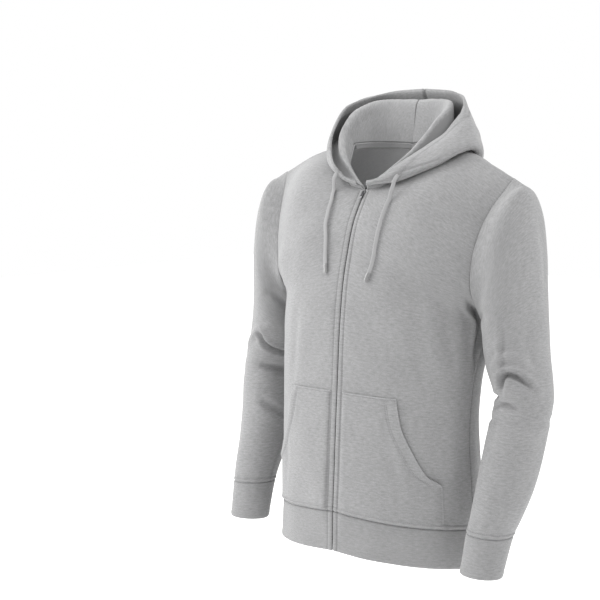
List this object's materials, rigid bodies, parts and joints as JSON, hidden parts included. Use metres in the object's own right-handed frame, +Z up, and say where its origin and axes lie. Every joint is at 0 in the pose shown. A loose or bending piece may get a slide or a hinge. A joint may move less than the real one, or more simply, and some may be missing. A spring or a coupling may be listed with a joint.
{
  "type": "full-zip hooded sweatshirt",
  "caption": "Hooded sweatshirt of grey fleece with a full-length front zip, kangaroo pocket, drawcord, ribbed cuffs and hem, filled out as worn with its hood lying back.",
  "frame": {"origin": "middle of the neck opening, level with the neck seam at the back, where a wearer's neck stands", "axes": "+Z up, +Y towards the back of the garment, +X towards the wearer's left"},
  "size_m": [0.6444, 0.2947, 0.7789],
  "materials": {
    "fleece": "light grey heather fleece, matt, faintly streaked",
    "fleece_inside": "the same fleece seen inside, a little darker",
    "drawcord": "grey woven flat cord",
    "zip_tape": "grey woven tape with a dark row of teeth",
    "gunmetal": "dark grey metal",
    "clear_tip": "clear plastic"
  },
  "bodies": {
    "garment": {"front_left": "fleece", "front_right": "fleece", "back": "fleece", "hem_band": "fleece", "sleeve_left": "fleece", "cuff_left": "fleece", "sleeve_right": "fleece", "cuff_right": "fleece", "hood_left": "fleece", "hood_lining_left": "fleece_inside", "hood_right": "fleece", "hood_lining_right": "fleece_inside", "pocket_left": "fleece", "pocket_right": "fleece", "neck_tape": "fleece_inside", "zip_tape_left": "zip_tape", "zip_tape_right": "zip_tape", "zip_box": "gunmetal", "zip_slider": "gunmetal", "drawcord_left": "drawcord", "aglet_left": "clear_tip", "drawcord_right": "drawcord", "aglet_right": "clear_tip"},
    "zip_pull": {"zip_pull": "gunmetal"}
  },
  "joints": [
    {"name": "pull_hinge", "type": "hinge", "parent": "garment", "child": "zip_pull", "pos_m": [0, -0.06947, -0.08147], "axis": [-1, 0, 0], "range_deg": [0, 120]}
  ]
}
